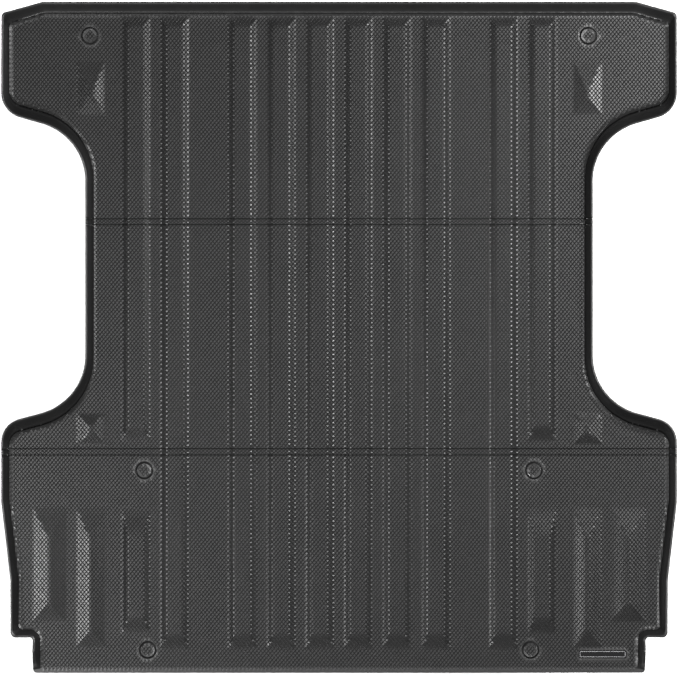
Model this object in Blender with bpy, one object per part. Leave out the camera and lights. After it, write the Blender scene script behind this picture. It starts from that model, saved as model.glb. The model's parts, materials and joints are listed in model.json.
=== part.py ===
"""Folding bed liner for a full-size pickup: one moulded rubber sheet in three panels with a raised
lip. Two double-groove folds join the panels: each has a narrow strip held by two thin living hinges.

Frame: metres, +Z up, origin on the ground at the centre of the outline. +Y points to the cab,
+X to the right-hand side of the bed. The sheet is mirror-symmetric about X = 0, but for the badge.
"""

from collections import namedtuple
from math import atan, atan2, ceil, cos, hypot, pi, radians, sin, tan

import bmesh
import bpy
import numpy as np
from mathutils import Vector
from mathutils.geometry import delaunay_2d_cdt

# ---- Driving dimensions, in metres ----
FRONT_Y = 0.841  # the edge along the bulkhead
REAR_Y = -0.841  # the edge at the tailgate
SIDE_X = 0.845  # half the width between the bed's walls
WELL_X = 0.6347  # half the width between the wheel wells
TAIL_X = 0.8222  # half the width behind the taper, at the tailgate
NOTCH_X = 0.7675  # half the width between the two rear notches
NOTCH_Y = -0.7507  # front edge of the rear notches

SHEET = 0.0045  # thickness of the moulded sheet
LIP_HEIGHT = 0.045  # top of the rim above the bed's floor
RIM = 0.006  # flat top of the lip
WALL_FOOT = 0.017  # inset of the lower end of the lip's steep wall
WALL_FOOT_Z = 0.0125  # height of that lower end
LIP_TOE = 0.028  # inset of the line where the lip meets the floor
INNER_CORNER = 0.012  # least rounding of a corner of the lip

RIDGE_HEIGHT = 0.008
RIDGE_TOP = 0.0205  # half width of a ridge's flat top
RIDGE_BASE = 0.0345  # half width of a ridge at the floor
FRONT_RAMP = 0.030  # length of a ridge's end ramp towards the cab
REAR_RAMP = 0.045  # length of a ridge's end ramp towards the tailgate
LONG_RAMP = 0.075  # length of the front end ramp of a pod or a short ridge
POD_TOP = 0.0035  # a pod is a short ridge with gentle sides
POD_BASE = 0.0355
OUTER_POD_BASE = 0.042

BOSS_TOP = 0.0175  # radius of the flat top of a boss that clears a bed bolt
BOSS_BASE = 0.0235
BOSS_HEIGHT = 0.007

GROOVE = 0.003  # width of a fold groove
WEB = 0.0012  # thickness of the living hinge at the bottom of a groove
GAP = 0.0003  # clearance between solids that touch on the real object
FRONT_FOLD = (0.2830, 0.2980)  # the two groove lines, the middle panel's first
REAR_FOLD = (-0.2785, -0.2945)

BADGE_CENTRE = (0.661, -0.794)
BADGE_SIZE = (0.1195, 0.020)
BADGE_THICKNESS = 0.0016
BADGE_CORNER = 0.003
INLAY_MARGIN = 0.0028  # from the badge's edge to its inlaid line
INLAY_WIDTH = 0.0012
INLAY_DEPTH = 0.0006
ISLAND_CORNER = 0.0012  # rounding of the plate inside the inlaid line
PLATE_ARC = 6  # points on each rounded corner of the badge
CUT_OVER = 0.001  # how far a cutter stands out of what it cuts

BOSS_SIDES = 20
ARC_STEP = radians(18)  # largest turn between two points of an arc
SAME_PLANE = 0.9998  # cosine between the normals of faces that count as one plane
LEAST_BEND = 0.03  # planes that differ by less than this share set no sideways shift

SHEET_GREY = (0.045, 0.045, 0.047)
STRIP_GREY = (0.040, 0.040, 0.042)
WEB_GREY = (0.020, 0.020, 0.021)
BADGE_BLACK = (0.006, 0.006, 0.007)
INLAY_GREY = (0.42, 0.42, 0.43)

# A corner of the outline: its sharp point, its rounding and the lip's height there, 0 to 1.
Corner = namedtuple("Corner", "x y radius lip")
# A ridge, by its centre line, its two ends, its half widths and its end ramps.
Ridge = namedtuple("Ridge", "x rear front top base rear_ramp front_ramp")

# The lip's inner face: inset from the outline, and height.
LIP_PROFILE = (
    (0.0, LIP_HEIGHT),
    (RIM, LIP_HEIGHT),
    (WALL_FOOT, WALL_FOOT_Z),
    (LIP_TOE, SHEET),
)

# Left half of each panel's outline, from the fold to the far end. The list after it has the lip's
# width on each stretch between two corners, as a multiple of the usual one.
FRONT_OUTLINE = [
    Corner(-WELL_X, FRONT_FOLD[1] + GROOVE / 2, 0.0, 1.0),
    Corner(-WELL_X, 0.5040, 0.150, 1.0),
    Corner(-SIDE_X, 0.5643, 0.064, 1.0),
    Corner(-SIDE_X, 0.8118, 0.012, 0.85),
    Corner(-0.7434, FRONT_Y, 0.040, 0.55),
]
FRONT_WALLS = [1.0, 1.7, 1.0, 1.0]
WELL_OUTLINE = [
    Corner(-WELL_X, FRONT_FOLD[0] - GROOVE / 2, 0.0, 1.0),
    Corner(-WELL_X, -0.1591, 0.150, 1.0),
    Corner(-SIDE_X, -0.2155, 0.060, 1.0),
    Corner(-SIDE_X, REAR_FOLD[0] + GROOVE / 2, 0.0, 1.0),
]
WELL_WALLS = [1.0, 1.7, 1.0]
REAR_OUTLINE = [
    Corner(-SIDE_X, REAR_FOLD[1] - GROOVE / 2, 0.0, 1.0),
    Corner(-SIDE_X, -0.4103, 0.100, 1.0),
    Corner(-TAIL_X, -0.6080, 0.100, 1.0),
    Corner(-TAIL_X, NOTCH_Y, 0.013, 0.8),
    Corner(-NOTCH_X, NOTCH_Y, 0.008, 0.6),
    Corner(-NOTCH_X, -0.7850, 0.0, 0.9),
    Corner(-NOTCH_X, -0.8150, 0.0, 0.5),
    Corner(-NOTCH_X, REAR_Y, 0.009, 0.0),
]
REAR_WALLS = [1.0] * (len(REAR_OUTLINE) - 1)

INNER_RIDGES = (0.0485, 0.1455, 0.2425, 0.4125)  # centre lines that run the whole length
OUTER_RIDGE = 0.5095  # centre line that stops behind the rear fold
RIDGE_FRONT = 0.807
RIDGE_REAR = -0.785
POD = 0.623
OUTER_POD = 0.726
BOSSES = ((0.625, 0.757), (0.4885, -0.333), (0.480, -0.783))  # right-hand side


def ridges():
    """Every ridge and pod of the sheet, on both sides."""
    wide = (RIDGE_TOP, RIDGE_BASE, REAR_RAMP, FRONT_RAMP)
    short_wide = (RIDGE_TOP, RIDGE_BASE, REAR_RAMP, LONG_RAMP)
    pod = (POD_TOP, POD_BASE, REAR_RAMP, LONG_RAMP)
    short_pod = (POD_TOP, POD_BASE, FRONT_RAMP, FRONT_RAMP)
    outer_pod = (POD_TOP, OUTER_POD_BASE, REAR_RAMP, LONG_RAMP)
    made = []
    for side in (-1, 1):
        made += [Ridge(side * x, RIDGE_REAR, RIDGE_FRONT, *wide) for x in INNER_RIDGES]
        made.append(Ridge(side * OUTER_RIDGE, -0.2635, RIDGE_FRONT, *wide))
        made.append(Ridge(side * OUTER_RIDGE, -0.745, -0.426, *short_wide))
        made.append(Ridge(side * POD, 0.559, 0.694, *pod))
        made.append(Ridge(side * POD, -0.2685, -0.190, *short_pod))
        made.append(Ridge(side * POD, -0.778, -0.426, *pod))
        made.append(Ridge(side * OUTER_POD, -0.7135, -0.426, *outer_pod))
    return made


RIDGES = ridges()
BOSS_CENTRES = [(side * x, y) for side in (-1, 1) for x, y in BOSSES]


def floor_height(x, y):
    """Height of the sheet's upper face inside the lip."""
    rise = 0.0
    for r in RIDGES:
        share = min(
            1.0,
            (r.base - abs(x - r.x)) / (r.base - r.top),
            (y - r.rear) / r.rear_ramp,
            (r.front - y) / r.front_ramp,
        )
        rise = max(rise, RIDGE_HEIGHT * share)
    for bx, by in BOSS_CENTRES:
        share = min(1.0, (BOSS_BASE - hypot(x - bx, y - by)) / (BOSS_BASE - BOSS_TOP))
        rise = max(rise, BOSS_HEIGHT * share)
    return SHEET + rise


def mirrored(corners, walls):
    """The same edge on the other side, in the opposite order."""
    return [c._replace(x=-c.x) for c in reversed(corners)], walls[::-1]


def ring(corners, walls, inset):
    """The outline moved inwards by inset, with its corners rounded, as points (x, y, lip)."""
    lines = []
    for a, b, wall in zip(corners, corners[1:], walls):
        along = Vector((b.x - a.x, b.y - a.y)).normalized()
        inward = Vector((along.y, -along.x))
        lines.append((Vector((a.x, a.y)) + inward * inset * wall, along, wall))
    points = [(lines[0][0].x, lines[0][0].y, corners[0].lip)]
    for c, before, after in zip(corners[1:-1], lines, lines[1:]):
        cross = before[1].cross(after[1])
        if abs(cross) < 1e-6:
            shift = Vector((after[1].y, -after[1].x)) * inset * after[2]
            points.append((c.x + shift.x, c.y + shift.y, c.lip))
            continue
        reach = (after[0] - before[0]).cross(after[1]) / cross
        point = before[0] + before[1] * reach
        turn = atan2(cross, before[1].dot(after[1]))
        # Moving inwards opens a corner that turns away from the sheet and tightens the others.
        change = inset * (before[2] + after[2]) / 2
        radius = max(c.radius + (change if turn > 0 else -change), min(c.radius, INNER_CORNER))
        points += arc(point, before[1], turn, radius, c.lip)
    last = lines[-1]
    end = last[0] + last[1] * (Vector((corners[-1].x, corners[-1].y)) - last[0]).dot(last[1])
    points.append((end.x, end.y, corners[-1].lip))
    return points


def arc(corner, along, turn, radius, lip):
    """Points of the arc that rounds a corner, where the path turns left by turn."""
    tangent = radius * tan(abs(turn) / 2)
    side = 1 if turn > 0 else -1
    left = Vector((-along.y, along.x)) * side
    start = corner - along * tangent
    centre = start + left * radius
    steps = ceil(abs(turn) / ARC_STEP)
    points = []
    for i in range(steps + 1):
        a = abs(turn) * i / steps
        p = centre + along * radius * sin(a) - left * radius * cos(a)
        points.append((p.x, p.y, lip))
    return points


def loop_edges(first, count):
    """The edges of a closed loop of count points, the first of which is number first."""
    return [(first + i, first + (i + 1) % count) for i in range(count)]


def feature_loops(rear, front):
    """Closed loops of points at the feet and tops of the features between two values of Y."""
    loops = []
    for r in RIDGES:
        if r.front > rear and r.rear < front:
            for half, y0, y1 in (
                (r.base, r.rear, r.front),
                (r.top, r.rear + r.rear_ramp, r.front - r.front_ramp),
            ):
                low, high = max(y0, rear), min(y1, front)
                if low < high:
                    left, right = r.x - half, r.x + half
                    loops.append([(left, low), (right, low), (right, high), (left, high)])
    for bx, by in BOSS_CENTRES:
        if rear < by < front:
            for radius in (BOSS_BASE, BOSS_TOP):
                turns = [2 * pi * i / BOSS_SIDES for i in range(BOSS_SIDES)]
                loops.append([(bx + radius * cos(a), by + radius * sin(a)) for a in turns])
    return loops


def offset_of(vert, thickness):
    """How far a vertex moves for all its faces to lie thickness further along their normals."""
    planes = []
    for face in vert.link_faces:
        if all(face.normal.dot(n) < SAME_PLANE for n in planes):
            planes.append(face.normal.copy())
    shift = np.linalg.lstsq(np.array(planes), np.full(len(planes), thickness), rcond=LEAST_BEND)[0]
    return Vector(shift)


def thicken(bm, thickness):
    """Gives an open face its thickness, along its normals, or against them if it is negative."""
    bm.normal_update()
    tops = bm.verts[:]
    faces = bm.faces[:]
    rim = [e for e in bm.edges if e.is_boundary]
    below = {v: v.co + offset_of(v, thickness) for v in tops}
    below = {v: bm.verts.new(co) for v, co in below.items()}
    for f in faces:
        bm.faces.new([below[v] for v in reversed(f.verts)])
    for e in rim:
        a, b = e.verts
        bm.faces.new((a, b, below[b], below[a]))
    bmesh.ops.recalc_face_normals(bm, faces=bm.faces[:])


def finished(bm, name):
    """The mesh made of a bmesh, which is then freed."""
    mesh = bpy.data.meshes.new(name)
    bm.to_mesh(mesh)
    bm.free()
    return mesh


def sheet_mesh(name, edges):
    """One piece of the moulded sheet. edges are its lipped edges, each as its corners and walls,
    in clockwise order as seen from above, and straight lines join them."""
    bm = bmesh.new()
    inner = []
    for corners, walls in edges:
        rings = []
        for inset, z in LIP_PROFILE:
            points = ring(corners, walls, inset)
            rings.append([bm.verts.new((x, y, SHEET + (z - SHEET) * lip)) for x, y, lip in points])
        for outside, inside in zip(rings, rings[1:]):
            for i in range(len(outside) - 1):
                bm.faces.new((outside[i], outside[i + 1], inside[i + 1], inside[i]))
        inner += rings[-1]

    flat = [Vector(v.co[:2]) for v in inner]
    constraints = []
    low = min(p.y for p in flat)
    high = max(p.y for p in flat)
    for loop in feature_loops(low, high):
        constraints += loop_edges(len(flat), len(loop))
        flat += [Vector(p) for p in loop]
    face = [list(range(len(inner)))[::-1]]
    points, _, faces, sources, _, _ = delaunay_2d_cdt(flat, constraints, face, 1, 1e-6)
    verts = []
    for p, source in zip(points, sources):
        known = [i for i in source if i < len(inner)]
        if known:
            verts.append(inner[known[0]])
        else:
            verts.append(bm.verts.new((p.x, p.y, floor_height(p.x, p.y))))
    for f in faces:
        bm.faces.new([verts[i] for i in f])
    bmesh.ops.recalc_face_normals(bm, faces=bm.faces[:])
    if sum(f.normal.z * f.calc_area() for f in bm.faces) < 0:
        bmesh.ops.reverse_faces(bm, faces=bm.faces[:])
    thicken(bm, -SHEET)
    return finished(bm, name)


def material(name, colour, roughness, metallic=0.0):
    """A Principled material."""
    made = bpy.data.materials.new(name)
    made.use_nodes = True
    shader = made.node_tree.nodes["Principled BSDF"]
    shader.inputs["Base Color"].default_value = (*colour, 1.0)
    shader.inputs["Roughness"].default_value = roughness
    shader.inputs["Metallic"].default_value = metallic
    return made


def add(name, mesh, finish, pivot=None):
    """An object with its own material, its origin on the line of its hinge."""
    mesh.materials.append(finish)
    made = bpy.data.objects.new(name, mesh)
    bpy.context.scene.collection.objects.link(made)
    if pivot is not None:
        for v in mesh.vertices:
            v.co.y -= pivot
        made.location.y = pivot
    return made


def add_sheet(name, edges, finish, pivot=None):
    """One piece of the moulded sheet."""
    return add(name, sheet_mesh(name, edges), finish, pivot)


def straight_edge(x, start, end):
    """A straight lipped edge along Y."""
    return [Corner(x, start, 0.0, 1.0), Corner(x, end, 0.0, 1.0)], [1.0]


def add_strip(name, half_width, fold, finish):
    """The narrow strip between the two grooves of a fold."""
    rear = min(fold) + GROOVE / 2
    front = max(fold) - GROOVE / 2
    edges = [straight_edge(-half_width, rear, front), straight_edge(half_width, front, rear)]
    return add_sheet(name, edges, finish, fold[0])


def section_below(half_width, y):
    """The sheet's underside across a fold, between the lips' toes, as points (x, z)."""
    slope = atan(RIDGE_HEIGHT / (RIDGE_BASE - RIDGE_TOP))
    shift = SHEET * tan(slope / 2)
    points = [(-half_width, 0.0)]
    for r in sorted(RIDGES, key=lambda r: r.x):
        if r.rear < y < r.front:
            foot, shoulder = r.base - shift, r.top - shift
            points += [(r.x - foot, 0.0), (r.x - shoulder, RIDGE_HEIGHT)]
            points += [(r.x + shoulder, RIDGE_HEIGHT), (r.x + foot, 0.0)]
    points.append((half_width, 0.0))
    return points


def add_web(name, half_width, y, finish):
    """The living hinge at the bottom of one groove. It follows the ridges and stops at the lips."""
    half = GROOVE / 2 - GAP
    bm = bmesh.new()
    rows = [[bm.verts.new((x, side * half, z)) for x, z in section_below(half_width, y)]
            for side in (-1, 1)]
    for i in range(len(rows[0]) - 1):
        bm.faces.new((rows[0][i], rows[0][i + 1], rows[1][i + 1], rows[1][i]))
    thicken(bm, WEB)
    made = add(name, finished(bm, name), finish)
    made.location.y = y
    return made


def rounded_plate(name, size, corner, bottom, top):
    """A flat plate with rounded corners, centred on the badge."""
    bm = bmesh.new()
    half_x, half_y = size[0] / 2 - corner, size[1] / 2 - corner
    ring_points = []
    for quarter, (sx, sy) in enumerate(((1, 1), (-1, 1), (-1, -1), (1, -1))):
        for i in range(PLATE_ARC + 1):
            a = (quarter + i / PLATE_ARC) * pi / 2
            ring_points.append((sx * half_x + corner * cos(a), sy * half_y + corner * sin(a)))
    cx, cy = BADGE_CENTRE
    face = bm.faces.new([bm.verts.new((cx + x, cy + y, bottom)) for x, y in ring_points])
    risen = bmesh.ops.extrude_face_region(bm, geom=[face])["geom"]
    lifted = [v for v in risen if isinstance(v, bmesh.types.BMVert)]
    bmesh.ops.translate(bm, verts=lifted, vec=(0, 0, top - bottom))
    bmesh.ops.recalc_face_normals(bm, faces=bm.faces[:])
    return finished(bm, name)


def guide(name, mesh):
    """A cutter that isn't part of the object."""
    made = bpy.data.objects.new(name, mesh)
    bpy.context.scene.collection.objects.link(made)
    made.hide_render = True
    made.display_type = "WIRE"
    return made


def cut(target, cutter, name):
    """Cuts one closed shape out of another."""
    boolean = target.modifiers.new(name, "BOOLEAN")
    boolean.operation = "DIFFERENCE"
    boolean.solver = "EXACT"
    boolean.object = cutter


def shrunk(margin):
    """The badge's size with its edge moved inwards by margin."""
    return BADGE_SIZE[0] - 2 * margin, BADGE_SIZE[1] - 2 * margin


def add_badge():
    """The plain badge plate on the rear panel, with a shallow channel and the line inlaid in it."""
    bottom = SHEET + GAP
    top = bottom + BADGE_THICKNESS
    floor = top - INLAY_DEPTH
    outer, inner = INLAY_MARGIN, INLAY_MARGIN + INLAY_WIDTH

    plate = add(
        "badge_plate",
        rounded_plate("badge_plate", BADGE_SIZE, BADGE_CORNER, bottom, top),
        material("badge_black", BADGE_BLACK, 0.35),
    )
    channel = guide(
        "channel_cutter",
        rounded_plate(
            "channel_cutter", shrunk(outer), ISLAND_CORNER + INLAY_WIDTH, floor, top + CUT_OVER
        ),
    )
    island = guide(
        "channel_island",
        rounded_plate(
            "channel_island", shrunk(inner), ISLAND_CORNER, floor - CUT_OVER, top + 2 * CUT_OVER
        ),
    )
    cut(channel, island, "island")
    cut(plate, channel, "channel")

    line = add(
        "badge_inlay",
        rounded_plate(
            "badge_inlay", shrunk(outer + GAP), ISLAND_CORNER + INLAY_WIDTH - GAP, floor + GAP, top
        ),
        material("badge_grey", INLAY_GREY, 0.45),
    )
    core = guide(
        "inlay_core",
        rounded_plate(
            "inlay_core", shrunk(inner - GAP), ISLAND_CORNER + GAP, floor - CUT_OVER, top + CUT_OVER
        ),
    )
    cut(line, core, "core")


def build():
    """Clears the scene and models the liner."""
    for old in list(bpy.data.objects):
        bpy.data.objects.remove(old)

    corners, walls = mirrored(FRONT_OUTLINE, FRONT_WALLS)
    add_sheet(
        "front_panel",
        [(FRONT_OUTLINE + corners, FRONT_WALLS + [1.0] + walls)],
        material("rubber_front", SHEET_GREY, 0.55),
        FRONT_FOLD[1],
    )
    add_sheet(
        "middle_panel",
        [(WELL_OUTLINE[::-1], WELL_WALLS[::-1]), mirrored(WELL_OUTLINE[::-1], WELL_WALLS[::-1])],
        material("rubber_middle", SHEET_GREY, 0.55),
    )
    corners, walls = mirrored(REAR_OUTLINE[::-1], REAR_WALLS[::-1])
    add_sheet(
        "rear_panel",
        [(corners + REAR_OUTLINE[::-1], walls + [1.0] + REAR_WALLS[::-1])],
        material("rubber_rear", SHEET_GREY, 0.55),
        REAR_FOLD[1],
    )

    for end, half_width, fold in (("front", WELL_X, FRONT_FOLD), ("rear", SIDE_X, REAR_FOLD)):
        finish = material(f"rubber_strip_{end}", STRIP_GREY, 0.55)
        add_strip(f"{end}_fold_strip", half_width, fold, finish)
        for place, y in zip(("inner", "outer"), fold):
            finish = material(f"rubber_web_{end}_{place}", WEB_GREY, 0.6)
            add_web(f"{end}_fold_web_{place}", half_width - LIP_TOE, y, finish)
    add_badge()


build()
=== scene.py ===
"""The looks of a folding moulded-rubber bed liner: textured sheet, folds, badge, light and camera.

Everything is in metres in the frame of the CAD model: +Y to the cab, +X to the right, +Z up.
"""

import json
from collections import namedtuple
from math import atan2, ceil, cos, floor, hypot, pi, sin, tan

import bpy
import numpy as np
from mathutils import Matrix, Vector
from mathutils.geometry import delaunay_2d_cdt


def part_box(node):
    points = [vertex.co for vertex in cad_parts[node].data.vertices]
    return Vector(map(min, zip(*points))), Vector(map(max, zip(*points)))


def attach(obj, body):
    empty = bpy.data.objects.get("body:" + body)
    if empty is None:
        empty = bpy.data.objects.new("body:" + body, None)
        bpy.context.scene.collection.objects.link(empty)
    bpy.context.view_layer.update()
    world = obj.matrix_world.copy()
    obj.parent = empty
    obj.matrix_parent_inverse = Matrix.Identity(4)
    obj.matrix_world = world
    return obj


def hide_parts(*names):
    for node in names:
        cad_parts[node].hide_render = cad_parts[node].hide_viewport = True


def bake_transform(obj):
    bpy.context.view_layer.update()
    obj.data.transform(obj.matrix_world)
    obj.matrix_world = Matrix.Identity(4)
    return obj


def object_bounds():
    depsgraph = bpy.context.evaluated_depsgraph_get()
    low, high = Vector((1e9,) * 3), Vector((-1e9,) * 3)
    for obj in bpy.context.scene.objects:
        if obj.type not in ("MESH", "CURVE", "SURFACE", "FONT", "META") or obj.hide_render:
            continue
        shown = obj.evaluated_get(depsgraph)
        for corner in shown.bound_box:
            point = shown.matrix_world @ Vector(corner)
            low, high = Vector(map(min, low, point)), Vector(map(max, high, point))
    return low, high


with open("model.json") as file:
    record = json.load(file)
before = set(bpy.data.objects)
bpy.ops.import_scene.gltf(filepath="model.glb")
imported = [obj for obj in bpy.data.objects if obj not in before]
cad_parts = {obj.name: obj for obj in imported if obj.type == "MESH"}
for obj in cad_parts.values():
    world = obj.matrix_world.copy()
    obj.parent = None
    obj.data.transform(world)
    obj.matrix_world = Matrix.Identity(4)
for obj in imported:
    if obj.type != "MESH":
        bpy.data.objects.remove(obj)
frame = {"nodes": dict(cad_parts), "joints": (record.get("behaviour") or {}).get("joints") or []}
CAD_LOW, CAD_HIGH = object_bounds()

# ---- Places that the frame gives ----
JOINT = {j["name"]: j for j in frame["joints"]}
FRONT_FOLD = (JOINT["front_strip_fold"]["pos_m"][1], JOINT["front_panel_fold"]["pos_m"][1])
REAR_FOLD = (JOINT["rear_strip_fold"]["pos_m"][1], JOINT["rear_panel_fold"]["pos_m"][1])
FRONT_Y = CAD_HIGH.y
REAR_Y = CAD_LOW.y
SIDE_X = CAD_HIGH.x
WELL_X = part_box("front_fold_strip")[1][0]
GROOVE = 2 * (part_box("front_panel")[0][1] - FRONT_FOLD[1])
LIP_HEIGHT = CAD_HIGH.z

# ---- The sheet ----
SHEET = 0.0045  # thickness
TAIL_X = 0.8222  # half width ahead of the notches in the rear corners
NOTCH_X = 0.7675  # half width between the notches
NOTCH_Y = -0.7507  # their front side
LIP_TOE = 0.028  # inset of the lip's inner end
INNER_CORNER = 0.012  # a corner's radius shrinks no further than this on an inset line
RIDGE_HEIGHT = 0.008
BOSS_HEIGHT = 0.007
BOSS_TOP = 0.0182  # radius of a boss's flat top
BOSS_BASE = 0.0222  # radius of a boss at the floor
NARROWER = 0.0012  # an underside channel is this much narrower than its ridge, each side
# How much the foot and the shoulder of a slope are rounded, from 0 to 1.
RIDGE_ROUNDING, POD_ROUNDING, BOSS_ROUNDING = 0.9, 0.3, 0.6

# ---- The moulded texture: flat-topped diamond pips in staggered rows ----
PIP_PITCH = 0.0096  # from pip to pip along a row
PIP_ROW = 0.0057  # from row to row
PIP_HEIGHT = 0.0012
PIP_HALF = PIP_PITCH / 2
PIP_TOP = 0.62  # size of a pip's flat top, as a share of its foot
BLUNT = 0.0004  # height of a pip that the edge of the texture cuts
LIP_GRAIN = 0.0006  # height of the texture on the lip's steep wall
STEP = 0.0038  # distance between points of a textured edge
SMOOTH_STEP = 0.0114  # the same along an edge with no texture
ARC_STEP = 0.2  # largest turn between two points of a rounded corner, in radians
FOLD_END = 0.0015  # the points of a fold keep this far from its ends
EDGE_CELL = 0.0012  # no lattice point lies within about this distance of an edge

# A corner of the outline. Its lip is the height of the lip there, as a share of the full height.
Corner = namedtuple("Corner", "x y radius lip")
# A ridge along Y: top and base are half its width at its top and at the floor.
Ridge = namedtuple("Ridge", "x rear front top base rear_ramp front_ramp")
# A stretch of the outline: how much wider than usual its lip's wall and its whole lip are, and
# whether the lip has texture, 0 or 1.
Stretch = namedtuple("Stretch", "wall lip grain")
Lattice = namedtuple("Lattice", "y row")  # of the pips: place of one row, distance between rows

RIDGE_TOP, RIDGE_BASE = 0.0184, 0.0366
POD_TOP, POD_BASE, OUTER_POD_BASE = 0.0035, 0.0355, 0.042
FRONT_RAMP, REAR_RAMP, LONG_RAMP = 0.030, 0.045, 0.075
INNER_RIDGES = (0.0485, 0.1455, 0.2425, 0.4125)
OUTER_RIDGE = 0.5095
RIDGE_FRONT, RIDGE_REAR = 0.807, -0.785
POD, OUTER_POD = 0.623, 0.726
BOSSES = ((0.625, 0.757), (0.4885, -0.333), (0.480, -0.783))
BOSS_SIDES, HOLLOW_SIDES = 44, 32  # sides of a boss above and of its hollow below
BOSS_RINGS = (  # radii of the rings of points round a boss
    BOSS_TOP - 0.0006, BOSS_TOP + 0.001, (BOSS_TOP + BOSS_BASE) / 2,
    BOSS_BASE - 0.001, BOSS_BASE + 0.0006,
)
# Where the underside's slopes have points, as shares of the slope from its foot.
CHANNEL_SHARES = (0.0, 0.12, 0.3, 0.5, 0.7, 0.88, 1.0)
HOLLOW_SHARES = (0.0, 0.25, 0.5, 0.75, 1.0)

GRAINED = Stretch(1.0, 1.0, 1)
WIDE = Stretch(1.7, 1.7, 1)
PLAIN = Stretch(1.6, 1.2, 0)
TAIL = Stretch(0.12, 0.12, 0)  # the flat edge at the tailgate
FRONT_OUTLINE = [
    Corner(-WELL_X, FRONT_FOLD[1] + GROOVE / 2, 0.0, 1.0),
    Corner(-WELL_X, 0.5040, 0.150, 1.0),
    Corner(-SIDE_X, 0.5643, 0.064, 1.0),
    Corner(-SIDE_X, 0.8118, 0.012, 0.85),
    Corner(-0.7434, FRONT_Y, 0.040, 0.55),
]
FRONT_STRETCHES = [GRAINED, WIDE, GRAINED, PLAIN]
WELL_OUTLINE = [
    Corner(-SIDE_X, REAR_FOLD[0] + GROOVE / 2, 0.0, 1.0),
    Corner(-SIDE_X, -0.2155, 0.060, 1.0),
    Corner(-WELL_X, -0.1591, 0.150, 1.0),
    Corner(-WELL_X, FRONT_FOLD[0] - GROOVE / 2, 0.0, 1.0),
]
WELL_STRETCHES = [GRAINED, WIDE, GRAINED]
REAR_OUTLINE = [
    Corner(-NOTCH_X, REAR_Y, 0.009, 0.0),
    Corner(-NOTCH_X, -0.8150, 0.0, 0.5),
    Corner(-NOTCH_X, -0.7850, 0.0, 0.9),
    Corner(-NOTCH_X, NOTCH_Y, 0.008, 0.6),
    Corner(-TAIL_X, NOTCH_Y, 0.013, 0.8),
    Corner(-TAIL_X, -0.6080, 0.100, 1.0),
    Corner(-SIDE_X, -0.4103, 0.100, 1.0),
    Corner(-SIDE_X, REAR_FOLD[1] - GROOVE / 2, 0.0, 1.0),
]
REAR_STRETCHES = [GRAINED] * (len(REAR_OUTLINE) - 1)


def ridges():
    """Every ridge and pod of the sheet, on both sides."""
    wide = (RIDGE_TOP, RIDGE_BASE, REAR_RAMP, FRONT_RAMP)
    short_wide = (RIDGE_TOP, RIDGE_BASE, REAR_RAMP, LONG_RAMP)
    pod = (POD_TOP, POD_BASE, REAR_RAMP, LONG_RAMP)
    short_pod = (POD_TOP, POD_BASE, FRONT_RAMP, FRONT_RAMP)
    outer_pod = (POD_TOP, OUTER_POD_BASE, REAR_RAMP, LONG_RAMP)
    made = []
    for side in (-1, 1):
        made += [Ridge(side * x, RIDGE_REAR, RIDGE_FRONT, *wide) for x in INNER_RIDGES]
        made.append(Ridge(side * OUTER_RIDGE, -0.2635, RIDGE_FRONT, *wide))
        made.append(Ridge(side * OUTER_RIDGE, -0.745, -0.426, *short_wide))
        made.append(Ridge(side * POD, 0.559, 0.694, *pod))
        made.append(Ridge(side * POD, -0.2685, -0.190, *short_pod))
        made.append(Ridge(side * POD, -0.778, -0.426, *pod))
        made.append(Ridge(side * OUTER_POD, -0.7135, -0.426, *outer_pod))
    return made


RIDGES = ridges()
BOSS_CENTRES = [(side * x, y) for side in (-1, 1) for x, y in BOSSES]


# ---- Height of the sheet ----

def eased(share, rounding):
    """Rounds the foot and the shoulder of a slope that runs from 0 to 1."""
    t = np.clip(share, 0.0, 1.0)
    return (1 - rounding) * t + rounding * t * t * (3 - 2 * t)


def ridge_rise(x, y, narrower=0.0):
    """How far the ridges raise the sheet at many points."""
    rise = np.zeros_like(x)
    for r in RIDGES:
        across = (r.base - narrower - np.abs(x - r.x)) / (r.base - r.top)
        ends = np.minimum((y - r.rear) / r.rear_ramp, (r.front - y) / r.front_ramp)
        rounding = POD_ROUNDING if r.top == POD_TOP else RIDGE_ROUNDING
        rise = np.maximum(rise, RIDGE_HEIGHT * eased(np.minimum(across, ends), rounding))
    return rise


def boss_rise(x, y, narrower=0.0):
    """How far the bolt bosses raise the sheet at many points."""
    rise = np.zeros_like(x)
    for bx, by in BOSS_CENTRES:
        share = (BOSS_BASE - narrower - np.hypot(x - bx, y - by)) / (BOSS_BASE - BOSS_TOP)
        rise = np.maximum(rise, BOSS_HEIGHT * eased(share, BOSS_ROUNDING))
    return rise


def pip(x, y, lattice):
    """The texture's height at many points, from 0 in the valleys to 1 in the middle of a pip."""
    best = np.zeros_like(x)
    rows = (y - lattice.y) / lattice.row
    for r in (np.round(rows) - 1, np.round(rows), np.round(rows) + 1):
        shift = np.where(r % 2 == 0, 0.0, PIP_HALF)
        dx = np.abs((x - shift + PIP_HALF) % PIP_PITCH - PIP_HALF)
        best = np.maximum(best, 1 - dx / PIP_HALF - np.abs(rows - r))
    return best


def near_boss(x, y, margin):
    """True at points within margin of a boss's sloping side."""
    found = np.zeros(np.shape(x), bool)
    for bx, by in BOSS_CENTRES:
        r = np.hypot(x - bx, y - by)
        found |= (r > BOSS_TOP - margin) & (r < BOSS_BASE + margin)
    return found


# ---- The outline and its lip ----

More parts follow.
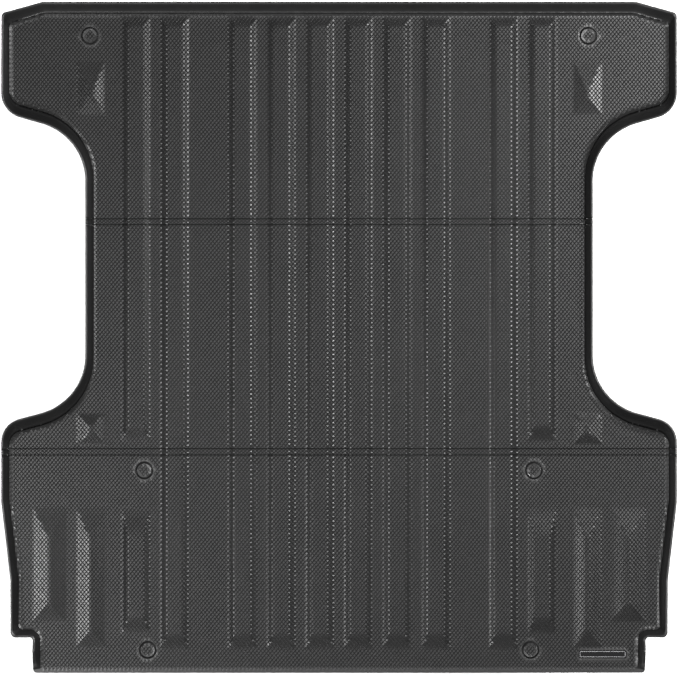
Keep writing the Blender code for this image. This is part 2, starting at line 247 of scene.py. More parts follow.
# The lip's section as (inset, height, texture): the upper part runs from the foot of the steep wall
# to the outer edge, and the lower part back to where the underside is flat.
RIM, FOOT = 0.0051, 0.0180  # insets of the rim's inner side and of the wall's foot
UPPER = [(FOOT, 0.0097, 1), (0.0156, 0.0140, 1), (0.0134, 0.0200, 1), (0.0113, 0.0270, 1)]
UPPER += [(0.0092, 0.0340, 1), (0.0071, 0.0403, 1), (0.0059, 0.0427, 0)]
UPPER += [(0.0047, 0.0441, 0), (0.0036, 0.0448, 0), (0.0028, 0.0450, 0), (0.0020, 0.0447, 0)]
UPPER += [(0.0009, 0.0434, 0), (0.0, 0.0414, 0)]
LOWER = [(0.0, 0.0408, 0), (0.0004, 0.0402, 0), (0.0018, 0.0394, 0), (0.0046, 0.0320, 0)]
LOWER += [(0.0089, 0.0180, 0), (0.0117, 0.0095, 0), (0.0146, 0.0046, 0), (0.0185, 0.0015, 0)]
LOWER += [(0.0232, 0.0003, 0), (LIP_TOE, 0.0, 0)]
# The fillet between the wall and the floor: share of its width from the wall, and height.
FILLET = (
    (0.0, 0.15, 0.30, 0.46, 0.63, 0.80, 1.0),
    (0.0052, 0.0034, 0.0021, 0.0012, 0.0006, 0.0002, 0.0),
)
FILLET_CELL, FILLET_MARGIN = 0.018, 0.040  # of the grid that finds the points near a fillet
# At a fold the lip begins to reach over the groove at this height, and does so fully after this rise.
REACH_START, REACH_RISE = 0.0050, 0.0045


def lip_section():
    """The section as (inset, height, height with no lip, share of the normal inwards, texture)."""
    path = [(*p, SHEET) for p in UPPER] + [(*p, 0.0) for p in LOWER]
    section = []
    for i, (inset, z, grain, flat) in enumerate(path):
        before, after = path[max(i - 1, 0)], path[min(i + 1, len(path) - 1)]
        run = Vector((after[0] - before[0], after[1] - before[1])).normalized()
        section.append((inset, z, flat, run.y, grain))
    return section


SECTION = lip_section()


def arc_points(corner, along, turn, radius, count):
    """Points of the arc that rounds a corner, with the inward normal at each."""
    side = 1 if turn > 0 else -1
    left = Vector((-along.y, along.x)) * side
    centre = corner - along * radius * tan(abs(turn) / 2) + left * radius
    points = []
    for i in range(count + 1):
        a = abs(turn) * i / count
        p = centre + along * radius * sin(a) - left * radius * cos(a)
        inward = (left * cos(a) - along * sin(a)) * side
        points.append((p.x, p.y, -inward.x, -inward.y))
    return points


def widened(stretch, inset):
    """The inset on a stretch whose lip is wider than usual. The rim keeps its width."""
    widths = (min(1.0, stretch.lip), stretch.wall, stretch.lip)
    return inset * np.interp(inset, (RIM, FOOT, LIP_TOE), widths)


def lined(corners, stretches, inset):
    """Each stretch moved inwards: a point on it, its direction, its inward normal."""
    lines = []
    for a, b, stretch in zip(corners, corners[1:], stretches):
        along = Vector((b.x - a.x, b.y - a.y)).normalized()
        inward = Vector((along.y, -along.x))
        lines.append((Vector((a.x, a.y)) + inward * widened(stretch, inset), along, inward))
    return lines


def outline_plan(corners, stretches):
    """For each corner the number of parts of its arc, and for each stretch that of its line."""
    lines = lined(corners, stretches, 0.0)
    arcs, tangents = [0], [0.0]
    for c, before, after in zip(corners[1:-1], lines, lines[1:]):
        turn = atan2(before[1].cross(after[1]), before[1].dot(after[1]))
        reach = (c.radius + (LIP_TOE if turn > 0 else 0.0)) * abs(turn)
        arcs.append(0 if abs(turn) < 1e-6 else max(3, ceil(reach / STEP), ceil(abs(turn) / ARC_STEP)))
        tangents.append(c.radius * tan(abs(turn) / 2))
    arcs.append(0)
    tangents.append(0.0)
    parts = []
    for i, stretch in enumerate(stretches):
        a, b = corners[i], corners[i + 1]
        length = hypot(b.x - a.x, b.y - a.y) - tangents[i] - tangents[i + 1]
        parts.append(max(1, round(length / (STEP if stretch.grain else SMOOTH_STEP))))
    return arcs, parts


def ring(corners, stretches, inset, plan):
    """Points (x, y, inward x, inward y, lip, grain) of the outline moved inwards by inset."""
    arcs, parts = plan
    lines = lined(corners, stretches, inset)
    stops = []
    for i, c in enumerate(corners):
        if i in (0, len(corners) - 1):
            line = lines[0] if i == 0 else lines[-1]
            base = Vector((c.x, c.y))
            p = line[0] + line[1] * (base - line[0]).dot(line[1])
            stops.append([(p.x, p.y, line[2].x, line[2].y)])
            continue
        before, after = lines[i - 1], lines[i]
        cross = before[1].cross(after[1])
        if not arcs[i]:
            p = Vector((c.x, c.y)) + after[2] * widened(stretches[i], inset)
            stops.append([(p.x, p.y, after[2].x, after[2].y)])
            continue
        point = before[0] + before[1] * ((after[0] - before[0]).cross(after[1]) / cross)
        turn = atan2(cross, before[1].dot(after[1]))
        change = (widened(stretches[i - 1], inset) + widened(stretches[i], inset)) / 2
        radius = max(c.radius + (change if turn > 0 else -change), min(c.radius, INNER_CORNER))
        stops.append(arc_points(point, before[1], turn, radius, arcs[i]))
    points = []
    for i, stop in enumerate(stops):
        before, after = stretches[max(i - 1, 0)], stretches[min(i, len(stretches) - 1)]
        points += [(*p, corners[i].lip, min(before.grain, after.grain)) for p in stop]
        if i < len(stretches):
            a, b = stop[-1], stops[i + 1][0]
            for k in range(1, parts[i]):
                t = k / parts[i]
                x, y = a[0] + (b[0] - a[0]) * t, a[1] + (b[1] - a[1]) * t
                lip = corners[i].lip + (corners[i + 1].lip - corners[i].lip) * t
                inward = lines[i][2]
                points.append((x, y, inward.x, inward.y, lip, stretches[i].grain))
    return np.array(points)


def mirrored(corners, stretches):
    """The same edge on the other side, in the opposite order."""
    return [c._replace(x=-c.x) for c in reversed(corners)], stretches[::-1]


# ---- Mesh of one piece of the sheet ----

class Builder:
    """Collects points and faces of one mesh."""

    def __init__(self):
        self.points = []
        self.faces = []
        self.smooth = []
        self.count = 0

    def add(self, xyz):
        """Adds an array of points and returns their numbers."""
        xyz = np.asarray(xyz, float).reshape(-1, 3)
        first = self.count
        self.points.append(xyz)
        self.count += len(xyz)
        return np.arange(first, self.count)

    def face(self, faces, smooth):
        """Adds faces, each a row of point numbers."""
        faces = [list(map(int, f)) for f in faces]
        self.faces += faces
        self.smooth += [smooth] * len(faces)

    def mesh(self, name):
        """The finished mesh."""
        made = bpy.data.meshes.new(name)
        made.from_pydata(np.vstack(self.points).tolist(), [], self.faces)
        made.polygons.foreach_set("use_smooth", self.smooth)
        made.validate()
        made.update()
        return made


def lip_rings(build, corners, stretches, lattice, close_up):
    """Adds the lip along one edge. Returns the point numbers of each ring of its section, and the
    fillet at its foot: its outer and its inner line, and the lip's height along them."""
    plan = outline_plan(corners, stretches)
    rings = []
    for inset, z, flat, across, grain in SECTION:
        x, y, ix, iy, lip, grained = ring(corners, stretches, inset, plan).T
        lift = LIP_GRAIN * grain * grained * pip(x, y, lattice)
        tilt = lip * across
        high = flat + (z - flat) * lip + np.sqrt(1 - tilt * tilt) * lift
        x = x + ix * tilt * lift
        y = y + iy * tilt * lift
        # At a fold the lip reaches over the groove, to a hair's breadth of the other lip.
        reach = close_up * min(1.0, max(0.0, (z - REACH_START) / REACH_RISE))
        for end, other in ((0, 1), (-1, -2)):
            y[end] += (1 if y[end] > y[other] else -1) * reach
        rings.append(build.add(np.stack([x, y, high], 1)))
    for a, b in zip(rings, rings[1:]):
        build.face(np.stack([a[:-1], b[:-1], b[1:], a[1:]], 1), True)
    foot = ring(corners, stretches, FOOT, plan)
    toe = ring(corners, stretches, LIP_TOE, plan)
    return rings, (foot[:, :2], toe[:, :2], foot[:, 4])


def fillet_rise(px, py, fillets):
    """How far the fillets at the lips' feet raise the floor at many points."""
    rise = np.zeros(len(px))
    for foot, toe, lip in fillets:
        start, along = foot[:-1], foot[1:] - foot[:-1]
        square = np.maximum((along ** 2).sum(1), 1e-12)
        width = np.hypot(*(toe - foot).T)
        low, high = foot.min(0) - FILLET_MARGIN, foot.max(0) + FILLET_MARGIN
        grid = distance_map(foot, FILLET_CELL, low, high)
        places = np.nonzero(near(px, py, grid))[0]
        for chunk in np.array_split(places, len(places) // 2000 + 1):
            p = np.stack([px[chunk], py[chunk]], 1)
            t = np.clip((((p[:, None] - start) * along).sum(2)) / square, 0.0, 1.0)
            d = p[:, None] - start - t[:, :, None] * along
            d = np.hypot(d[:, :, 0], d[:, :, 1])
            k = d.argmin(1)
            here = np.interp(d.min(1) / np.maximum(width[k], 1e-6), *FILLET) * lip[k]
            rise[chunk] = np.maximum(rise[chunk], here)
    return rise


def inside(px, py, polygon):
    """True for the points inside a polygon."""
    found = np.zeros(len(px), bool)
    xs, ys = polygon[:, 0], polygon[:, 1]
    for i in range(len(polygon)):
        x0, y0, x1, y1 = xs[i - 1], ys[i - 1], xs[i], ys[i]
        if y0 != y1:
            crosses = (y0 > py) != (y1 > py)
            found ^= crosses & (px < (x1 - x0) * (py - y0) / (y1 - y0) + x0)
    return found


def distance_map(polygon, step, low, high):
    """A grid that is True near the polygon's edge: (mask, low corner, step)."""
    nx = int(ceil((high[0] - low[0]) / step)) + 3
    ny = int(ceil((high[1] - low[1]) / step)) + 3
    mask = np.zeros((nx, ny), bool)
    closed = np.vstack([polygon, polygon[:1]])
    for a, b in zip(closed, closed[1:]):
        n = max(1, int(ceil(np.hypot(*(b - a)) / (step / 2))))
        t = np.linspace(0, 1, n + 1)[:, None]
        p = a + (b - a) * t
        i = np.round((p[:, 0] - low[0]) / step).astype(int) + 1
        j = np.round((p[:, 1] - low[1]) / step).astype(int) + 1
        for di in (-1, 0, 1):
            for dj in (-1, 0, 1):
                mask[np.clip(i + di, 0, nx - 1), np.clip(j + dj, 0, ny - 1)] = True
    return mask, low, step


def near(px, py, grid):
    """True for the points near the edge that a distance map holds."""
    mask, low, step = grid
    i = np.clip(np.round((px - low[0]) / step).astype(int) + 1, 0, mask.shape[0] - 1)
    j = np.clip(np.round((py - low[1]) / step).astype(int) + 1, 0, mask.shape[1] - 1)
    return mask[i, j]


# A pip's foot as steps of half a pitch along X and of a row along Y.
PIP_CORNERS = ((1, 0), (0, 1), (-1, 0), (0, -1))


def pip_floor(build, loop, surface, lattice, on_folds, flat_box):
    """Fills the loop of point numbers with the textured floor. on_folds has the lattice's places
    on the folds, their point numbers, and the pips that the folds cut."""
    polygon = np.vstack(build.points)[loop][:, :2]
    low, high = polygon.min(0), polygon.max(0)
    edge = distance_map(polygon, EDGE_CELL, low, high)

    i0, i1 = floor(low[0] / PIP_PITCH) - 1, ceil(high[0] / PIP_PITCH) + 2
    first_row = floor((low[1] - lattice.y) / lattice.row) - 1
    last_row = ceil((high[1] - lattice.y) / lattice.row) + 2
    cells = []
    for r in range(first_row, last_row):
        half = np.arange(i0, i1) * 2 + r % 2
        cells.append(np.stack([half, np.full(len(half), r)], 1))
    cells = np.vstack(cells)

    # One point number per place of the lattice, -1 where there is none yet.
    low_key = cells.min(0) - 3
    number = np.full(tuple(cells.max(0) - low_key + 4), -1)
    number[tuple((on_folds[0] - low_key).T)] = on_folds[1]

    def known(keys):
        return number[tuple((keys - low_key).T)]

    def allowed(keys):
        px, py = keys[:, 0] * PIP_HALF, lattice.y + keys[:, 1] * lattice.row
        good = inside(px, py, polygon) & ~near(px, py, edge) & ~near_boss(px, py, EDGE_CELL)
        if flat_box is not None:
            x0, y0, x1, y1 = flat_box
            good &= ~((px > x0) & (px < x1) & (py > y0) & (py < y1))
        return good

    def points_for(keys):
        fresh = np.unique(keys[known(keys) < 0], axis=0)
        if len(fresh):
            px, py = fresh[:, 0] * PIP_HALF, lattice.y + fresh[:, 1] * lattice.row
            # The middle of a pip that isn't whole stands out as a blunt point.
            z = surface(px, py) + BLUNT * (fresh.sum(1) % 2 == 0)
            number[tuple((fresh - low_key).T)] = build.add(np.stack([px, py, z], 1))
        return known(keys)

    corner_keys = [cells + np.array(c) for c in PIP_CORNERS]
    whole = allowed(cells)
    for keys in corner_keys:
        whole &= allowed(keys) | (known(keys) >= 0)
    full = cells[whole]
    every = np.unique(np.vstack([cells] + corner_keys), axis=0)
    every = every[allowed(every)]

    feet = [points_for(keys[whole]) for keys in corner_keys]
    tops = []
    for dx, dy in PIP_CORNERS:
        px = (full[:, 0] + dx * PIP_TOP) * PIP_HALF
        py = lattice.y + (full[:, 1] + dy * PIP_TOP) * lattice.row
        tops.append(build.add(np.stack([px, py, surface(px, py) + PIP_HEIGHT], 1)))
    build.face(np.stack(tops, 1), False)
    edges = {}
    for k in range(4):
        a, b = feet[k], feet[(k + 1) % 4]
        build.face(np.stack([a, b, tops[(k + 1) % 4], tops[k]], 1), False)
        for e in zip(a.tolist(), b.tolist()):
            key = (min(e), max(e))
            edges[key] = edges.get(key, 0) + 1
    rim = [e for e, n in edges.items() if n == 1]

    # The band between the whole pips and the edge, round each boss and round the badge's seat.
    loose = every[known(every) < 0]
    used = [v for e in rim for v in e] + points_for(loose).tolist() + [int(v) for v in loop]
    used = list(dict.fromkeys(used))
    constraints = [(int(loop[i - 1]), int(loop[i])) for i in range(len(loop))] + rim
    add_cut_pips(build, on_folds[2], known, surface, lattice, used, constraints)
    for bx, by in BOSS_CENTRES:
        if inside(np.array([bx]), np.array([by]), polygon)[0]:
            add_boss_rings(build, bx, by, surface, used, constraints)
    fill_band(build, used, constraints, surface, full, lattice)


def add_cut_pips(build, cut, known, surface, lattice, used, constraints):
    """Adds the far corner of the flat top of each pip that a fold cuts, with the edges to it."""
    present = set(used)
    halves = []
    for (key, row), pair in cut:
        for way in (-1, 1):
            foot = int(known(np.array([[key, row + way]]))[0])
            if foot in present:
                y = lattice.y + (row + way * PIP_TOP) * lattice.row
                halves.append((key * PIP_HALF, y, pair, foot))
    px, py = np.array([h[0] for h in halves]), np.array([h[1] for h in halves])
    peaks = build.add(np.stack([px, py, surface(px, py) + PIP_HEIGHT], 1)).tolist()
    used += peaks
    for peak, (_, _, pair, foot) in zip(peaks, halves):
        constraints += [(peak, pair[0]), (peak, pair[1]), (peak, foot)]


def add_boss_rings(build, bx, by, surface, used, constraints):
    """Adds the rings of points round one boss, and the edges along them."""
    turns = np.arange(BOSS_SIDES) * 2 * pi / BOSS_SIDES
    for radius in BOSS_RINGS:
        px, py = bx + radius * np.cos(turns), by + radius * np.sin(turns)
        z = surface(px, py) + PIP_HEIGHT * 0.5 * (radius < BOSS_TOP)
        new = build.add(np.stack([px, py, z], 1)).tolist()
        used += new
        constraints += [(new[i - 1], new[i]) for i in range(len(new))]


def fill_band(build, used, constraints, surface, full, lattice):
    """Fills the polygon with triangles between the used points, apart from its whole pips."""
    coords = np.vstack(build.points)
    local = {v: i for i, v in enumerate(used)}
    flat = [Vector(coords[v][:2]) for v in used]
    joined = [(local[a], local[b]) for a, b in constraints]
    points, _, faces, sources, _, _ = delaunay_2d_cdt(flat, joined, [], 1, 1e-7)
    ids = []
    for p, source in zip(points, sources):
        if source:
            ids.append(used[source[0]])
        else:
            px, py = np.array([p.x]), np.array([p.y])
            ids.append(int(build.add([[p.x, p.y, surface(px, py)[0]]])[0]))
    coords = np.vstack(build.points)
    tri = np.array([[ids[i] for i in f] for f in faces if len(f) == 3])
    middle = coords[tri][:, :, :2].mean(1)
    build.face(tri[~in_whole(middle, full, lattice)], False)


def in_whole(middle, full, lattice):
    """True for the points that lie in one of the whole pips."""
    if not len(full):
        return np.zeros(len(middle), bool)
    low_key = full.min(0) - 3
    have = np.zeros(tuple(full.max(0) - low_key + 4), bool)
    have[tuple((full - low_key).T)] = True
    found = np.zeros(len(middle), bool)
    best = np.full(len(middle), np.inf)
    rows = (middle[:, 1] - lattice.y) / lattice.row
    row = np.round(rows).astype(int)
    for r in (row - 1, row, row + 1):
        odd = r % 2
        column = np.round((middle[:, 0] / PIP_HALF - odd) / 2).astype(int) * 2 + odd
        size = np.abs(middle[:, 0] / PIP_HALF - column) + np.abs(rows - r)
        keys = np.clip(np.stack([column, r], 1) - low_key, 0, np.array(have.shape) - 1)
        found = np.where(size < best, have[tuple(keys.T)], found)
        best = np.minimum(best, size)
    return found


def under_floor(build, polygon, loop):
    """Fills the polygon, whose points are already in the mesh as loop, with the plain underside."""
    low, high = polygon.min(0), polygon.max(0)
    flat = [Vector(p) for p in polygon]
    constraints = [(i - 1 if i else len(loop) - 1, i) for i in range(len(loop))]
    extra = []
    for r in RIDGES:
        y0, y1 = max(r.rear, low[1]), min(r.front, high[1])
        if y0 >= y1:
            continue
        for share in CHANNEL_SHARES:
            half = r.base - (r.base - r.top) * share - NARROWER
            if half <= 0:
                continue
            start, end = r.rear + r.rear_ramp * share, r.front - r.front_ramp * share
            a, b = max(start, low[1] + 1e-4), min(end, high[1] - 1e-4)
            if a < b:
                left, right = r.x - half, r.x + half
                extra.append([(left, a), (right, a), (right, b), (left, b)])
    for bx, by in BOSS_CENTRES:
        if low[1] < by < high[1]:
            for share in HOLLOW_SHARES:
                radius = BOSS_BASE - (BOSS_BASE - BOSS_TOP) * share - NARROWER
                turns = [2 * pi * i / HOLLOW_SIDES for i in range(HOLLOW_SIDES)]
                extra.append([(bx + radius * cos(t), by + radius * sin(t)) for t in turns])
    for group in extra:
        first = len(flat)
        flat += [Vector(p) for p in group]
        constraints += [(first + i, first + (i + 1) % len(group)) for i in range(len(group))]
    points, _, faces, sources, _, _ = delaunay_2d_cdt(flat, constraints, [], 1, 1e-7)
    ids = []
    for p, source in zip(points, sources):
        known = [s for s in source if s < len(loop)]
        if known:
            ids.append(int(loop[known[0]]))
            continue
        px, py = np.array([p.x]), np.array([p.y])
        z = ridge_rise(px, py, NARROWER) + boss_rise(px, py, NARROWER)
        ids.append(int(build.add([[p.x, p.y, z[0]]])[0]))
    build.face([[ids[i] for i in reversed(f)] for f in faces], False)


def fold_edge(build, a, b, surface, lattice):
    """The edge along a fold from point a to point b, both left out. Returns its point numbers, the
    places and numbers of the pips' feet on it, and each pip that the fold cuts: its place and the
    point numbers of its flat top."""
    edge_y = b[1]
    step = 1 if b[0] > a[0] else -1
    last = ceil(abs(a[0]) / PIP_HALF)
    keys = np.arange(-last, last + 1)[::step]
    keys = keys[np.abs(keys * PIP_HALF) < abs(a[0]) - FOLD_END]
    row = round((edge_y - lattice.y) / lattice.row) if lattice else 0
    stops = []  # (place on the lattice, distance from it as a share of a pip, whether on a top)
    for i, key in enumerate(keys):
        if lattice and (key + row) % 2 == 0 and 0 < i < len(keys) - 1:
            stops += [(key, -step * PIP_TOP, True), (key, step * PIP_TOP, True)]
        else:
            stops.append((key, 0.0, False))
    x = np.array([key + share for key, share, _ in stops]) * PIP_HALF
    y = np.full(len(x), edge_y)
    z = surface(x, y) + PIP_HEIGHT * np.array([on_top for _, _, on_top in stops])
    ids = build.add(np.stack([x, y, z], 1)).tolist()
    feet = [((key, row), v) for v, (key, _, on_top) in zip(ids, stops) if not on_top]
    tops = [((key, row), v) for v, (key, _, on_top) in zip(ids, stops) if on_top]
    cut = [(a[0], (a[1], b[1])) for a, b in zip(tops[::2], tops[1::2])]
    return ids, [k for k, _ in feet], [v for _, v in feet], cut


def sheet_piece(name, edges, lattice, close_up, flat_box=None):
    """The mesh of one piece. edges are its lipped edges, clockwise as seen from above."""
    build = Builder()
    strips, fillets = [], []
    for corners, stretches in edges:
        rings, fillet = lip_rings(build, corners, stretches, lattice, close_up)
        strips.append(rings)
        fillets.append(fillet)

    def surface(x, y):
        return SHEET + ridge_rise(x, y) + boss_rise(x, y) + fillet_rise(x, y, fillets)

    def below(x, y):
        return ridge_rise(x, y, NARROWER)

    upper, lower, walls, places, numbers, cut = [], [], [], [], [], []
    for i, rings in enumerate(strips):
        following = strips[(i + 1) % len(strips)]
        coords = np.vstack(build.points)
        fold_y = edges[i][0][-1].y
        a, b = coords[rings[0][-1]], coords[following[0][0]]
        ends = (a[0], fold_y), (b[0], fold_y)
        top, keys, feet, halves = fold_edge(build, *ends, surface, lattice)
        a, b = coords[rings[-1][-1]], coords[following[-1][0]]
        ends = (a[0], fold_y), (b[0], fold_y)
        bottom = fold_edge(build, *ends, below, None)[0]
        places += keys
        numbers += feet
        cut += halves
        upper += [rings[0], top]
        lower += [rings[-1], bottom]
        out_end = [r[-1] for r in rings]
        in_end = [r[0] for r in following]
        walls.append([*out_end[::-1], *top, *in_end, *bottom[::-1]])
    on_folds = np.array(places), np.array(numbers), cut
    pip_floor(build, np.concatenate(upper), surface, lattice, on_folds, flat_box)
    lower = np.concatenate(lower)
    under_floor(build, np.vstack(build.points)[lower][:, :2], lower)
    build.face(walls, False)
    return build.mesh(name)


# ---- Materials ----

def nodes_of(name):
    """A new material, with its node tree and its Principled shader."""
    made = bpy.data.materials.new(name)
    made.use_nodes = True
    return made, made.node_tree, made.node_tree.nodes["Principled BSDF"]


def noise(tree, scale, detail, roughness=0.5):
    """A noise texture in object space."""
    made = tree.nodes.new("ShaderNodeTexNoise")
    made.inputs["Scale"].default_value = scale
    made.inputs["Detail"].default_value = detail
    made.inputs["Roughness"].default_value = roughness
    place = tree.nodes.get("Texture Coordinate") or tree.nodes.new("ShaderNodeTexCoord")
    tree.links.new(place.outputs["Object"], made.inputs["Vector"])
    return made


def ramp(tree, source, low, high, dark, light):
    """Maps a value between low and high to colours between dark and light."""
    made = tree.nodes.new("ShaderNodeValToRGB")
    made.color_ramp.elements[0].position = low
    made.color_ramp.elements[1].position = high
    made.color_ramp.elements[0].color = (*dark, 1.0)
    made.color_ramp.elements[1].color = (*light, 1.0)
    tree.links.new(source, made.inputs["Fac"])
    return made.outputs["Color"]


def spread(tree, source, low, high):
    """Maps a value from 0..1 to low..high."""
    made = tree.nodes.new("ShaderNodeMapRange")
    made.inputs["To Min"].default_value = low
    made.inputs["To Max"].default_value = high
    tree.links.new(source, made.inputs["Value"])
    return made.outputs["Result"]


def bump(tree, shader, source, strength, distance):
    """A bump on the shader's normal."""
    made = tree.nodes.new("ShaderNodeBump")
    made.inputs["Strength"].default_value = strength
    made.inputs["Distance"].default_value = distance
    tree.links.new(source, made.inputs["Height"])
    tree.links.new(made.outputs["Normal"], shader.inputs["Normal"])


def rubber(name, grey, roughness, gloss):
    """Dark moulded rubber: cloudy tone, uneven sheen and a fine grain."""
    made, tree, shader = nodes_of(name)
    cloud = noise(tree, 9.0, 5.0, 0.6)
    dark = (grey * 0.86, grey * 0.86, grey * 0.88)
    light = (grey * 1.14, grey * 1.13, grey * 1.13)
    colour = ramp(tree, cloud.outputs["Fac"], 0.3, 0.7, dark, light)
    tree.links.new(colour, shader.inputs["Base Color"])
    sheen = noise(tree, 60.0, 4.0)
    level = spread(tree, sheen.outputs["Fac"], roughness - 0.07, roughness + 0.07)
    tree.links.new(level, shader.inputs["Roughness"])
    fine = noise(tree, 1400.0, 2.0)
    bump(tree, shader, fine.outputs["Fac"], 0.25, 0.0002)
    shader.inputs["Specular IOR Level"].default_value = gloss
    return made


def plastic(name, colour, roughness, gloss):
    """Smooth moulded plastic with faint mottling."""
    made, tree, shader = nodes_of(name)
    cloud = noise(tree, 120.0, 3.0)
    dark = tuple(c * 0.9 for c in colour)
    light = tuple(min(1.0, c * 1.1) for c in colour)
    tint = ramp(tree, cloud.outputs["Fac"], 0.3, 0.7, dark, light)
    tree.links.new(tint, shader.inputs["Base Color"])
    level = spread(tree, cloud.outputs["Fac"], roughness - 0.05, roughness + 0.05)
    tree.links.new(level, shader.inputs["Roughness"])
    fine = noise(tree, 2200.0, 2.0)
    bump(tree, shader, fine.outputs["Fac"], 0.15, 0.0001)
    shader.inputs["Specular IOR Level"].default_value = gloss
    return made


RUBBER = rubber("moulded_rubber", 0.0050, 0.40, 0.36)
# The hinge rubber is a darker grey than the sheet's rubber: painted shade in the fold grooves.
SHADED_HINGE = rubber("hinge_rubber", 0.003, 0.85, 0.12)
BADGE = plastic("badge_plastic", (0.0015, 0.0015, 0.0018), 0.55, 0.1)
INLAY = plastic("badge_inlay_plastic", (0.30, 0.30, 0.31), 0.5, 0.3)


def place(name, mesh, material, slot, body, *nodes):
    """Puts a piece in the scene in place of CAD nodes."""
    mesh.materials.append(material)
    made = bpy.data.objects.new(name, mesh)
    bpy.context.scene.collection.objects.link(made)
    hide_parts(*nodes)
    if body is not None:
        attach(made, body)
    return made


# ---- The pieces ----

CLOSE_UP = GROOVE / 2 - 0.00015  # how far a lip reaches over a groove, to just short of the other
STRIP_ROWS = 3  # rows of pips across a strip


def straight(x, start, end):
    """A straight lipped edge along Y."""
    return [Corner(x, start, 0.0, 1.0), Corner(x, end, 0.0, 1.0)], [GRAINED]


def add_panels():
    """The three panels and the two strips between them."""
    corners, stretches = FRONT_OUTLINE, FRONT_STRETCHES
    other, others = mirrored(corners, stretches)
    front = [(corners + other, stretches + [PLAIN] + others)]
    middle = [(WELL_OUTLINE, WELL_STRETCHES), mirrored(WELL_OUTLINE, WELL_STRETCHES)]
    other, others = mirrored(REAR_OUTLINE, REAR_STRETCHES)
    rear = [(other + REAR_OUTLINE, others + [TAIL] + REAR_STRETCHES)]
    x0, y0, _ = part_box("badge_plate")[0]
    x1, y1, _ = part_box("badge_plate")[1]
    length = FRONT_FOLD[0] - REAR_FOLD[0] - GROOVE
    rows = {
        "front": Lattice(FRONT_FOLD[1] + GROOVE / 2, PIP_ROW),
        "middle": Lattice(REAR_FOLD[0] + GROOVE / 2, length / round(length / PIP_ROW)),
        "rear": Lattice(REAR_FOLD[1] - GROOVE / 2, PIP_ROW),
    }
    for body, edges, seat in (
        ("front", front, None),
        ("middle", middle, None),
        ("rear", rear, (x0, y0, x1, y1)),
    ):
        mesh = sheet_piece(f"{body}_panel_sheet", edges, rows[body], CLOSE_UP, seat)
        place(f"{body}_panel_sheet", mesh, RUBBER, "moulded_rubber", body, f"{body}_panel")
    for end, half, fold in (("front", WELL_X, FRONT_FOLD), ("rear", SIDE_X, REAR_FOLD)):
        y0, y1 = min(fold) + GROOVE / 2, max(fold) - GROOVE / 2
        edges = [straight(-half, y0, y1), straight(half, y1, y0)]
        name = f"{end}_fold_strip_sheet"
        mesh = sheet_piece(name, edges, Lattice(y0, (y1 - y0) / STRIP_ROWS), CLOSE_UP)
        place(name, mesh, RUBBER, "moulded_rubber", f"{end}_strip", f"{end}_fold_strip")


WEB = 0.0012  # thickness of a living hinge
WEB_ROOT = 0.0002  # how far a living hinge runs into the sheet on each side of its groove
WEB_REACH = 0.0148  # inset of its ends, where it meets the underside of the lip
WEB_STEP, WEB_ROWS = 0.0026, 9  # distance of its points along X, and their number across the groove
UNDER_LIP = ((0.0146, 0.0185, 0.0232, LIP_TOE), (0.0046, 0.0015, 0.0003, 0.0))  # inset, height


def add_webs():
    """The living hinges: thin films across each groove, between the bodies on each side of it."""
    for end, half, fold in (("front", WELL_X, FRONT_FOLD), ("rear", SIDE_X, REAR_FOLD)):
        for place_name, y, bodies in (
            ("inner", fold[0], ("middle", f"{end}_strip")),
            ("outer", fold[1], (f"{end}_strip", end)),
        ):
            node = f"{end}_fold_web_{place_name}"
            run = GROOVE / 2 + WEB_ROOT
            rows = np.linspace(y - run, y + run, WEB_ROWS)
            reach = half - WEB_REACH
            x = np.linspace(-reach, reach, int(2 * reach / WEB_STEP))
            build = Builder()
            layers = []
            for thick in (0.0, WEB):
                grid = []
                for yy in rows:
                    z = ridge_rise(x, np.full(len(x), y), NARROWER) + thick
                    z += np.interp(half - np.abs(x), *UNDER_LIP)
                    grid.append(build.add(np.stack([x, np.full(len(x), yy), z], 1)))
                layers.append(grid)
            for grid, flip in ((layers[0], True), (layers[1], False)):
                for a, b in zip(grid, grid[1:]):
                    quads = np.stack([a[:-1], a[1:], b[1:], b[:-1]], 1)
                    build.face(quads[:, ::-1] if flip else quads, True)
            for g in (0, -1):
                a, b = layers[0][g], layers[1][g]
                quads = np.stack([a[:-1], a[1:], b[1:], b[:-1]], 1)
                build.face(quads if g == 0 else quads[:, ::-1], False)
            for c in (0, -1):
                a = [row[c] for row in layers[0]]
                b = [row[c] for row in layers[1]]
                for i in range(len(a) - 1):
                    quad = [a[i], a[i + 1], b[i + 1], b[i]]
                    build.face([quad[::-1] if c == 0 else quad], False)
            name = f"{node}_film"
            # The film's darker grey is painted shade in the groove.
            made = place(name, build.mesh(name), SHADED_HINGE, "hinge_rubber", None, node)
            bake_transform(made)


def add_badge():
    """The plain badge keeps its CAD shape and gets better materials."""
    for node, material in (("badge_plate", BADGE), ("badge_inlay", INLAY)):
        frame["nodes"][node].material_slots[0].material = material


# ---- Stage, light and camera ----

FLOOR_GAP = 0.03  # below the lowest that a folded panel hangs
SKY = 0.20  # brightness of the pale sky
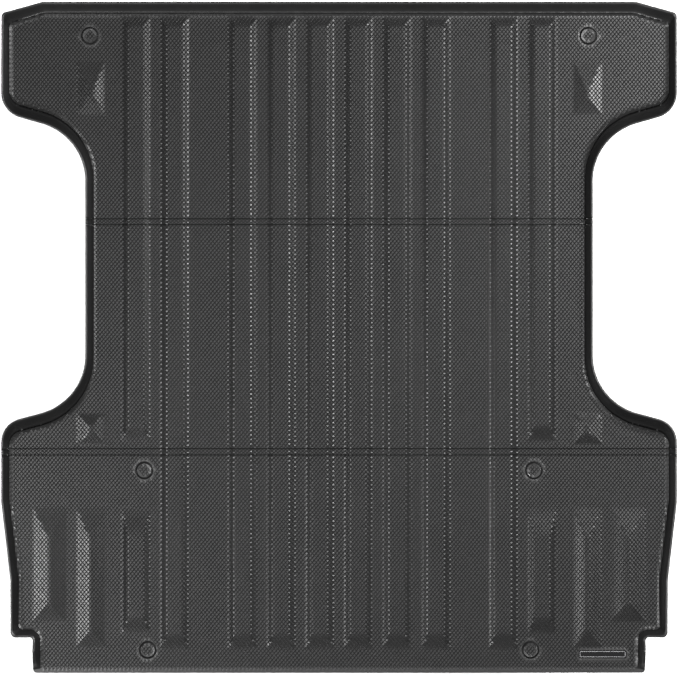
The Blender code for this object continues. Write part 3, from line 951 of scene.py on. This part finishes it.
# Name, place, aim, length of a side, power in watts.
LAMPS = (
    ("overhead", (0, 0, 14.0), (0, 0, 0), 8.0, 395),
    ("key", (2.4, 1.0, 3.5), (0.2, 0.3, 0), 1.0, 430),
    ("fill", (-2.4, -1.0, 3.5), (-0.2, -0.3, 0), 1.0, 280),
)


def add_floor():
    """A plain pale floor, low enough for the panels to hang free of it at every fold."""
    swing = max(FRONT_Y - FRONT_FOLD[0], REAR_FOLD[0] - REAR_Y)
    bpy.ops.mesh.primitive_plane_add(size=40, location=(0, 0, -swing - FLOOR_GAP))
    made = bpy.context.object
    made.name = "studio_floor"
    surface, _, shader = nodes_of("studio_floor")
    shader.inputs["Base Color"].default_value = (0.92, 0.92, 0.92, 1)
    shader.inputs["Roughness"].default_value = 0.9
    made.data.materials.append(surface)


def add_light(name, where, target, side, power):
    """A soft square lamp aimed at a point."""
    data = bpy.data.lights.new(name, "AREA")
    data.shape = "RECTANGLE"
    data.size = data.size_y = side
    data.energy = power
    made = bpy.data.objects.new(name, data)
    bpy.context.scene.collection.objects.link(made)
    made.location = where
    made.rotation_euler = (Vector(target) - Vector(where)).to_track_quat("-Z", "Y").to_euler()


def add_studio():
    """A broad lamp overhead and two smaller ones from opposite corners, under a pale sky."""
    world = bpy.data.worlds.new("studio")
    bpy.context.scene.world = world
    world.use_nodes = True
    background = world.node_tree.nodes["Background"]
    background.inputs["Color"].default_value = (1, 1, 1, 1)
    background.inputs["Strength"].default_value = SKY
    for lamp in LAMPS:
        add_light(*lamp)
    bpy.context.scene.view_settings.view_transform = "Standard"


def add_camera():
    """Straight above, with the cab end at the top of the picture."""
    height = 12.0
    shown = 1.6975  # width of the picture at the rim's height
    data = bpy.data.cameras.new("camera")
    data.sensor_width = 36
    data.lens = data.sensor_width * (height - LIP_HEIGHT) / shown
    made = bpy.data.objects.new("camera", data)
    bpy.context.scene.collection.objects.link(made)
    made.location = (0.001, -0.001, height)
    bpy.context.scene.camera = made


add_camera()
add_studio()
add_floor()
add_panels()
add_webs()
add_badge()
